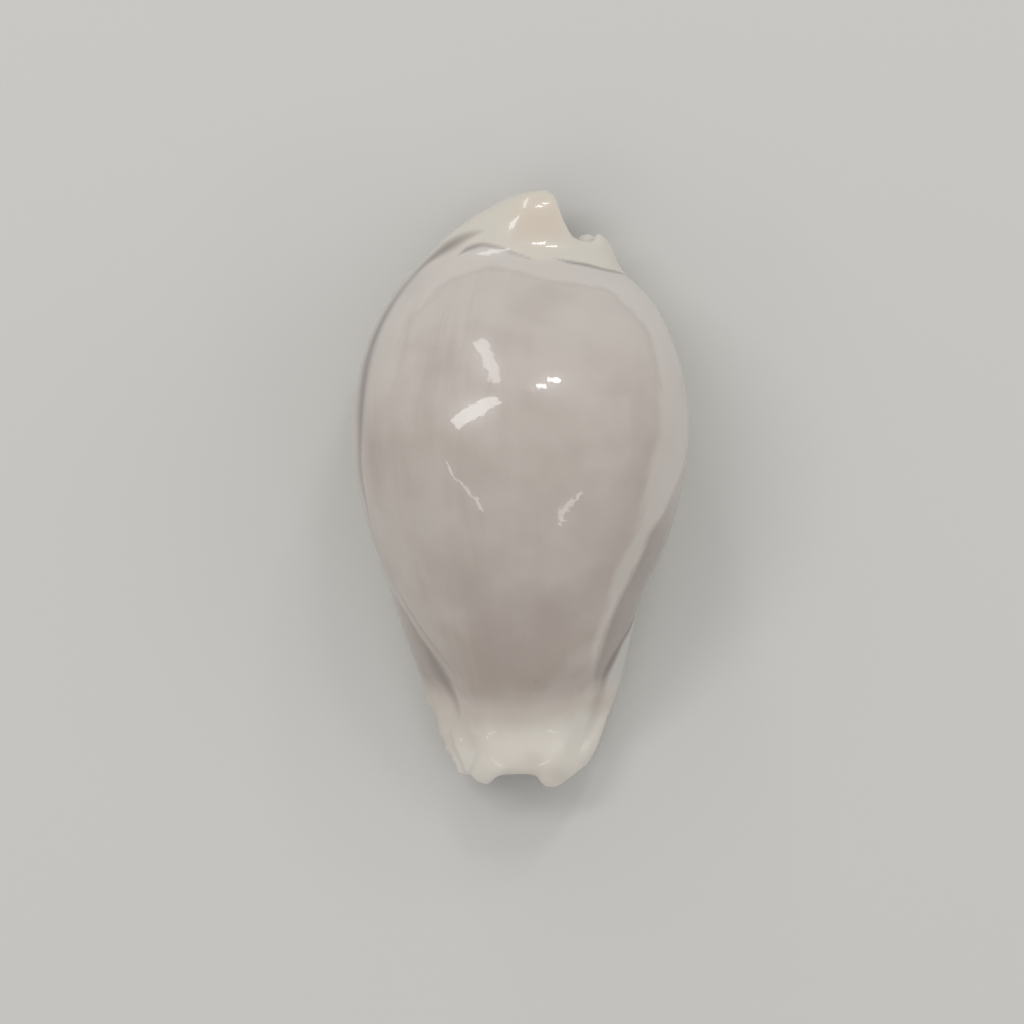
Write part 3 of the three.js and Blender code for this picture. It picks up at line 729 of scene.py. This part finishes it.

# %% [markdown]
# ## The zones
#
# The table paints the zones one over the other, as the mantle did. Some of its lines are painted shade and
# light:
# shade in the grooves, at the foot of the callus step and on the back's front slope, light on the upper back.
# Each line of it is a colour, how much of it there is, and the limits of its zone: for every field the value
# where the colour starts to show and the value where it is full. Places are in millimetres, and turns count
# from the outer lip (0) over the left side (1), the top (2) and the right side (3) to the inner lip (4).

# %% Zones
BARE_BACK = "#c4b9b0"
ZONES = [
    # the thin back, through which the older layers show as mauve grey, with painted shade and painted light
    # painted shade: darker where the back slopes down to the front, away from the lamps
    ("#b6a89e", 1, [("Y", -2, -28)]),
    # painted light: lighter on the upper back, which faces the lamps
    ("#cbc3bc", 1, [("Y", 6, 26)]),
    # streaks and patches of the glaze's own tone
    ("#d6cdc6", 0.25, [("streaks", 0.45, 0.75), ("X", 12, -14)]),
    ("#a99b91", 0.4, [("streaks", 0.5, 0.25), ("X", 12, -14)]),
    ("#d0c8c1", 0.45, [("patches", 0.45, 0.7)]),
    ("#a99d94", 0.25, [("patches", 0.5, 0.3)]),
    # the white glaze round it
    ("#d8d2cb", 0.58, [("ragged callus_edge", -1.3, 0.8), ("Y", -25.5, -22), ("ragged band_edge", 0.4, -0.4),
                       ("X", -24, -6)]),
    # painted shade: a thin grey line at the foot of the callus step
    ("#9a928b", 0.13, [("ragged callus_edge", -1.9, -0.9), ("ragged callus_edge", 0.1, -0.7), ("Y", 8, 22)]),
    ("#8f827c", 0.7, [("band_edge", 0.2, 1.4), ("Y", 5, -9), ("turn", 2.3, 2.5)]),
    # the margins beside the grooves
    ("#a69d96", 0.6, [("ragged left_margin", 0.5, -1.2), ("Y", -32, -23), ("Y", -6, -17)]),
    ("#c9c6c0", 1, [("right_margin", 0.3, 1.3), ("Y", 4, -15)]),
    # the collar over the front canal
    ("#d8cec3", 0.9, [("ragged collar_edge", 3.6, -1.2)]),
    ("#e6e0d5", 0.9, [("ragged collar_edge", -0.5, -5)]),
    ("#dcd8d0", 0.8, [("ragged collar_edge", 3, -3), ("turn", 1.1, 0.8)]),
    ("#c6b9ab", 0.35, [("patches", 0.55, 0.35), ("collar_edge", 1, -2)]),
    # the beak
    ("#dad4c8", 1, [("ragged beak_edge", -0.5, 0.6), ("Y", 27, 28.5)]),
    ("#dad4c8", 0.8, [("ragged beak_edge", -8, 1), ("X", -7, -13)]),
    ("#e0c8b0", 0.4, [("peach", 6, 1)]),
    ("#a09a6a", 0.4, [("speck", 0.8, 0.1)]),
    # the underside
    ("#dad6ce", 1, [("turn", 1, 0.7)]),
    ("#dad6ce", 1, [("turn", 2.95, 3.3)]),
    # painted shade in the grooves, lines and creases, and the chocolate inside
    ("#857b76", 1, [("shade", 0.1, 1.1)]),
    ("#7a5244", 1, [("inside", 0.25, 0.95)])]
colour = linear(BARE_BACK)
for code, strength, limits in ZONES:
    amount = strength
    for name, starts, is_full in limits:
        edge = add("ShaderNodeMapRange", {"Value": fields[name], "From Min": starts, "From Max": is_full},
                   interpolation_type="SMOOTHSTEP")
        amount = add("ShaderNodeMath", {0: amount, 1: edge}, operation="MULTIPLY")
    colour = add("ShaderNodeMix", {"Factor": amount, "A": colour, "B": linear(code)}, data_type="RGBA")
print(len(ZONES), "zones over the bare back")

# %% [markdown]
# ## Gloss
#
# The gloss is a clear coat over a softer body, as on glazed ware. The surface still has three kinds of
# unevenness, none of them higher than some hundredths of a millimetre: broad waves of 5 mm, dimples of
# 2 mm that make a reflected window ragged, and fine lines along the growth.

# %% The glaze
UNEVENNESS, LINE_HEIGHT = {"waves": (5, 0.03), "dimples": (1.8, 0.03)}, 0.004  # grain and height in mm
height = add("ShaderNodeMath", {0: fields["streaks"], 1: LINE_HEIGHT}, operation="MULTIPLY")
for grain, size in UNEVENNESS.values():
    pattern = add("ShaderNodeTexNoise", {"Vector": place, "Scale": 1 / grain, "Detail": 2.0})
    height = add("ShaderNodeMath", {0: pattern, 1: size, 2: height}, operation="MULTIPLY_ADD")
bump = add("ShaderNodeBump", {"Height": height, "Strength": 1.0, "Distance": MM})
surface = add("ShaderNodeBsdfPrincipled", {
    "Base Color": colour, "Roughness": 0.28, "IOR": 1.5, "Normal": bump, "Subsurface Weight": 0.15,
    "Subsurface Radius": (1.0, 0.8, 0.65), "Subsurface Scale": 0.0012, "Coat Weight": 0.8,
    "Coat Roughness": 0.04, "Coat IOR": 1.5, "Coat Normal": bump})
add("ShaderNodeOutputMaterial", {"Surface": surface})
shell.data.materials.clear()
shell.data.materials.append(glaze)
print("glaze:", len(tree.nodes), "nodes")

# %% [markdown]
# ## The photographer's table
#
# The shell lies on a plain pale board, whose matt paint mirrors nothing, so the eye stays on the shell.
# Glaze shows its shape by what it mirrors, so the lights are panels: the panes of a window, a double
# lamp behind, and a faint large one on the right that fills the shadows. An even white world lights the
# rest. The camera looks straight down, and its lens is long enough that the shell isn't distorted.

# %% The board
BOARD_HALF = 1.5  # metres
floor_bm = bmesh.new()
bmesh.ops.create_grid(floor_bm, x_segments=1, y_segments=1, size=BOARD_HALF)
floor_mesh = bpy.data.meshes.new("floor")
floor_bm.to_mesh(floor_mesh)
floor_bm.free()
floor = bpy.data.objects.new("floor", floor_mesh)
bpy.context.scene.collection.objects.link(floor)
floor_paint = bpy.data.materials.new("matt painted board")
floor_paint.use_nodes = True
paint = floor_paint.node_tree.nodes["Principled BSDF"].inputs
paint["Base Color"].default_value, paint["Roughness"].default_value = linear("#d8d6d2"), 0.7
floor.data.materials.append(floor_paint)
print("board:", 2 * BOARD_HALF, "m square")

# %% Lights
world = bpy.data.worlds.new("studio")
world.use_nodes = True
world.node_tree.nodes["Background"].inputs["Color"].default_value = (1, 1, 1, 1)
world.node_tree.nodes["Background"].inputs["Strength"].default_value = 0.56
bpy.context.scene.world = world


def soft_light(name, direction, along, size, radiance, distance=0.9):
    """A panel that shines on the shell from `direction`, with its long side `along` another one."""
    lamp = bpy.data.lights.new(name, "AREA")
    lamp.shape, lamp.size, lamp.size_y = "RECTANGLE", *size
    lamp.energy = radiance * pi * size[0] * size[1]
    lamp_object = bpy.data.objects.new(name, lamp)
    towards = Vector(direction).normalized()
    long_side = (Vector(along) - towards * towards.dot(Vector(along))).normalized()
    lamp_object.matrix_world = Matrix.Translation(towards * distance) @ Matrix(
        (long_side, towards.cross(long_side), towards)).transposed().to_4x4()
    bpy.context.scene.collection.objects.link(lamp_object)


soft_light("window", (-0.45, 0.33, 0.83), (0.9, 0.4, 0), (0.5, 0.12), 6)
soft_light("upper_pane", (-0.24, 0.89, 0.38), (0, 0, 1), (0.6, 0.09), 4)
soft_light("lower_pane", (-0.58, -0.4, 0.7), (0.67, -0.74, 0), (0.5, 0.03), 4)
soft_light("right_pane", (0.52, -0.55, 0.65), (0.9, 0.4, 0), (0.24, 0.05), 4)
soft_light("lamp", (0.18, 0.67, 0.7), (1, 0.2, 0), (0.11, 0.08), 15)
soft_light("small_lamp", (0.295, 0.765, 0.58), (1, 0.2, 0), (0.09, 0.07), 15)
soft_light("fill", (0.85, 0.1, 0.55), (0, 1, 0), (0.6, 0.6), 0.5)

# %% Camera
AIM, PHOTO_WIDTH, CAMERA_HEIGHT, AIM_HEIGHT = (-1.14, -3.1), 137.1, 1.5, 0.012  # mm, mm, then metres
SENSOR = 36  # mm
camera_data = bpy.data.cameras.new("camera")
camera_data.sensor_width = SENSOR
camera_data.lens = SENSOR * (CAMERA_HEIGHT - AIM_HEIGHT) / (PHOTO_WIDTH * MM)
camera = bpy.data.objects.new("camera", camera_data)
camera.location = (AIM[0] * MM, AIM[1] * MM, CAMERA_HEIGHT)
bpy.context.scene.collection.objects.link(camera)
bpy.context.scene.camera = camera
bpy.context.scene.view_settings.view_transform = "Standard"
print("lens of", round(camera_data.lens), "mm")
